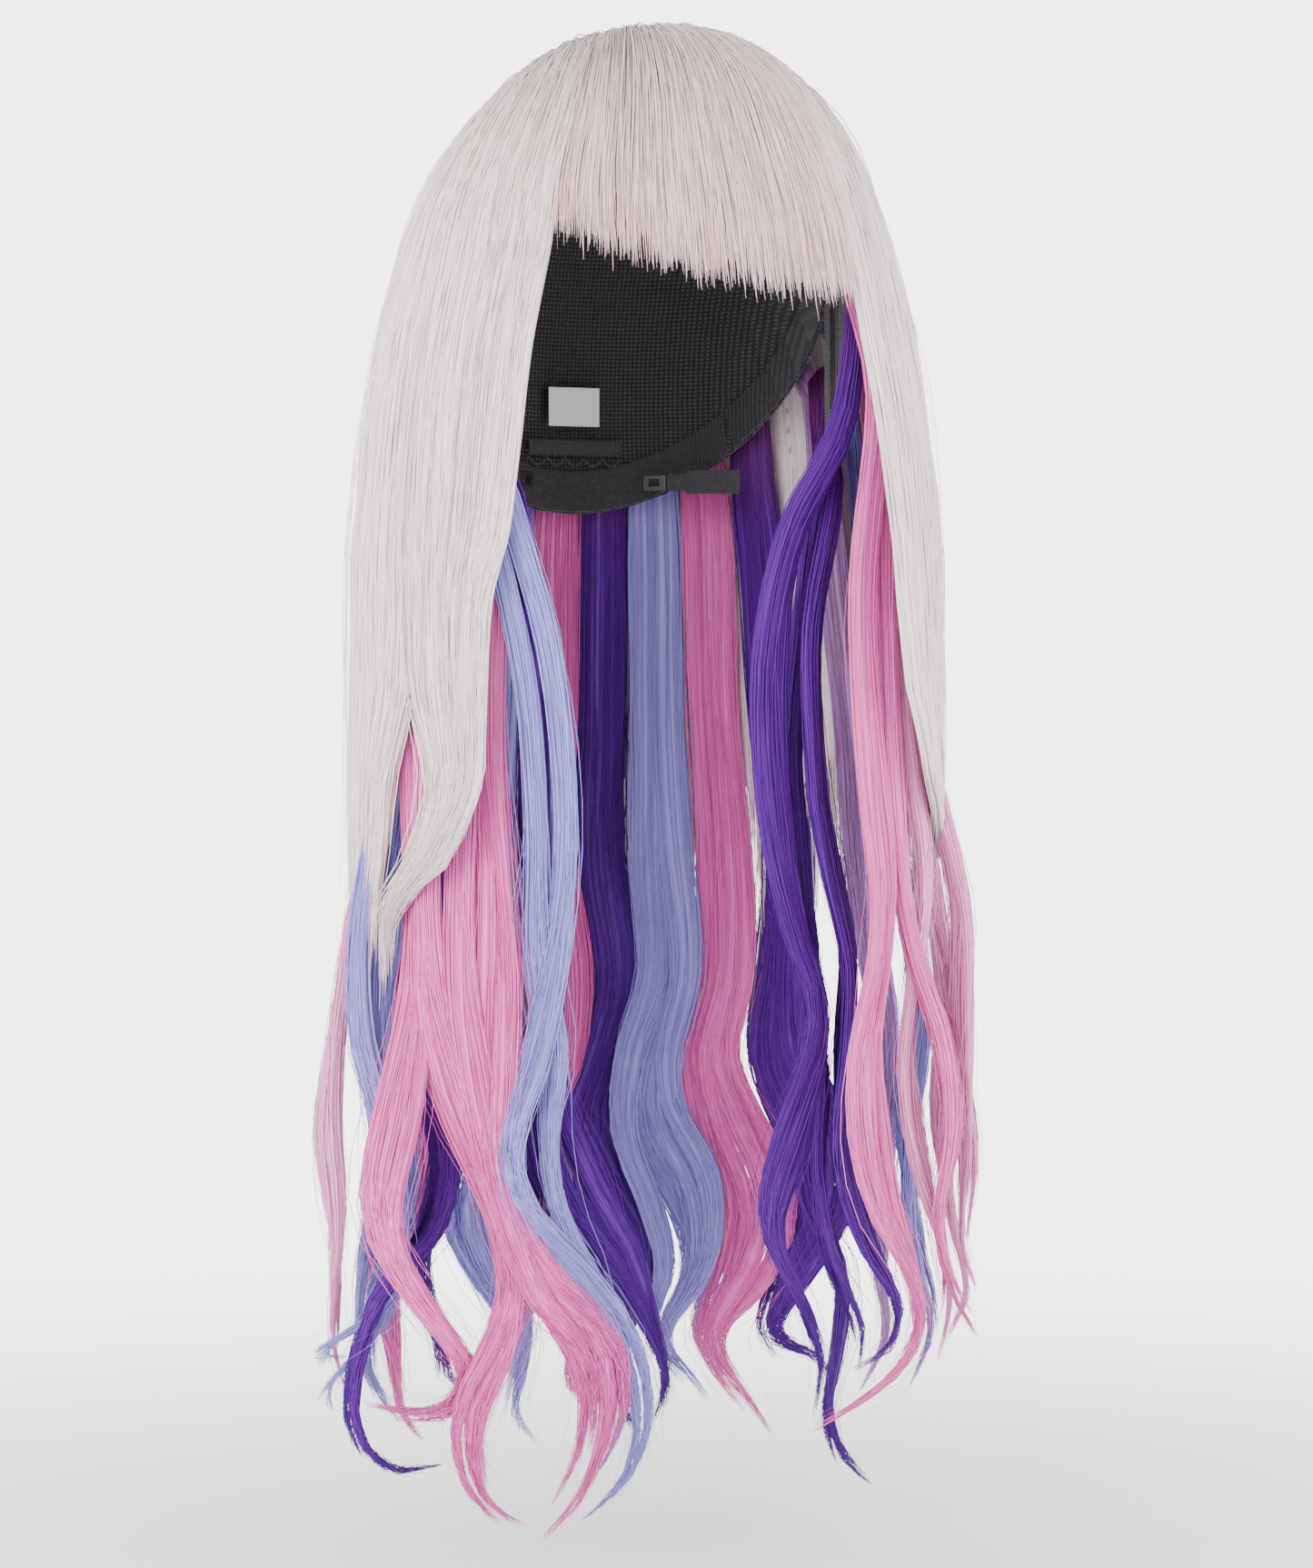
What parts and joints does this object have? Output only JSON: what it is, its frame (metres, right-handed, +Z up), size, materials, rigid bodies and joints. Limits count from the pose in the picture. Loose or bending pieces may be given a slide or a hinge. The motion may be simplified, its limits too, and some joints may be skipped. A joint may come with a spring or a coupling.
{
  "type": "costume wig",
  "caption": "Long synthetic wig on an adjustable net cap: white outer hair with a straight fringe over wavy pink, blue and purple under hair.",
  "frame": {"origin": "centre of the cap's head opening, at the height of the wearer's ear canals", "axes": "+Z up through the crown, -Y the way the wearer faces, -X the wearer's right side"},
  "size_m": [0.2498, 0.2437, 0.582],
  "materials": {
    "white_hair": "synthetic fibre hair, soft satin sheen",
    "pink_hair": "synthetic fibre hair, soft satin sheen",
    "rose_hair": "synthetic fibre hair, soft satin sheen",
    "blue_hair": "synthetic fibre hair, soft satin sheen",
    "lilac_hair": "synthetic fibre hair, soft satin sheen",
    "purple_hair": "synthetic fibre hair, soft satin sheen",
    "black_net": "open knitted net",
    "black_elastic": "woven elastic tape",
    "scalp_skin": "skin-toned mesh",
    "steel_stay": "brushed",
    "hook_plastic": "smooth black",
    "loop_thread": "twisted thread",
    "blank_label": "woven satin, blank"
  },
  "bodies": {
    "cap": {"cap_net": "black_net", "centre_rib": "black_elastic", "right_rib": "black_elastic", "left_rib": "black_elastic", "front_band": "black_elastic", "nape_band": "black_elastic", "right_side_band": "black_elastic", "left_side_band": "black_elastic", "weft_row_1": "black_elastic", "weft_row_2": "black_elastic", "weft_row_3": "black_elastic", "weft_row_4": "black_elastic", "weft_row_5": "black_elastic", "crown_skin": "scalp_skin", "right_strap_sleeve": "black_elastic", "left_strap_sleeve": "black_elastic", "nape_loop_tape": "black_elastic", "nape_loops": "loop_thread", "cap_label": "blank_label", "crown_hair": "white_hair", "mantle_hair": "white_hair"},
    "fringe_hair": {"fringe": "white_hair"},
    "right_hair": {"right_white_panel": "white_hair", "right_blue_front_lock": "blue_hair", "right_pink_front_lock": "pink_hair", "right_pink_loop_lock": "pink_hair", "right_pink_wave_lock": "pink_hair", "right_blue_outer_lock": "blue_hair", "right_rose_outer_lock": "rose_hair", "right_purple_inner_lock": "purple_hair", "right_lilac_inner_lock": "lilac_hair", "right_purple_hook_lock": "purple_hair"},
    "left_hair": {"left_white_panel": "white_hair", "left_pink_front_lock": "pink_hair", "left_pink_middle_lock": "pink_hair", "left_rose_front_lock": "rose_hair", "left_rose_outer_lock": "rose_hair", "left_blue_outer_lock": "blue_hair", "left_lilac_outer_lock": "lilac_hair", "left_purple_inner_lock": "purple_hair", "left_purple_middle_lock": "purple_hair", "left_purple_tail_lock": "purple_hair"},
    "back_hair": {"back_white_panel": "white_hair", "back_blue_right_lock": "blue_hair", "back_pink_right_lock": "pink_hair", "back_purple_right_lock": "purple_hair", "back_blue_middle_lock": "blue_hair", "back_pink_middle_lock": "pink_hair", "back_purple_middle_lock": "purple_hair", "back_blue_left_lock": "blue_hair", "back_pink_left_lock": "pink_hair", "back_purple_left_lock": "purple_hair"},
    "right_tab": {"right_ear_tab": "black_elastic", "right_tab_stay": "steel_stay"},
    "left_tab": {"left_ear_tab": "black_elastic", "left_tab_stay": "steel_stay"},
    "right_adjuster": {"right_strap": "black_elastic", "right_hook": "hook_plastic"},
    "left_adjuster": {"left_strap": "black_elastic", "left_hook": "hook_plastic"}
  },
  "joints": [
    {"name": "fringe_lift", "type": "hinge", "parent": "cap", "child": "fringe_hair", "pos_m": [0, -0.08, 0.105], "axis": [-1, 0, 0], "range_deg": [0, 40]},
    {"name": "right_hair_swing", "type": "hinge", "parent": "cap", "child": "right_hair", "pos_m": [-0.088, 0, -0.003], "axis": [0, 1, 0], "range_deg": [0, 25]},
    {"name": "left_hair_swing", "type": "hinge", "parent": "cap", "child": "left_hair", "pos_m": [0.09, 0, -0.003], "axis": [0, -1, 0], "range_deg": [0, 25]},
    {"name": "back_hair_lift", "type": "hinge", "parent": "cap", "child": "back_hair", "pos_m": [0, 0.098, -0.003], "axis": [1, 0, 0], "range_deg": [0, 25]},
    {"name": "right_tab_fold", "type": "hinge", "parent": "cap", "child": "right_tab", "pos_m": [-0.067, -0.037, 0.0545], "axis": [0, -0.7955, 0.606], "range_deg": [0, 60]},
    {"name": "left_tab_fold", "type": "hinge", "parent": "cap", "child": "left_tab", "pos_m": [0.067, -0.037, 0.0545], "axis": [0, 0.7955, -0.606], "range_deg": [0, 60]},
    {"name": "right_adjuster_slide", "type": "slide", "parent": "cap", "child": "right_adjuster", "axis": [0.84, 0.5426, 0], "range_m": [0, 0.018]},
    {"name": "left_adjuster_slide", "type": "slide", "parent": "cap", "child": "left_adjuster", "axis": [-0.84, 0.5426, 0], "range_m": [0, 0.018]}
  ]
}
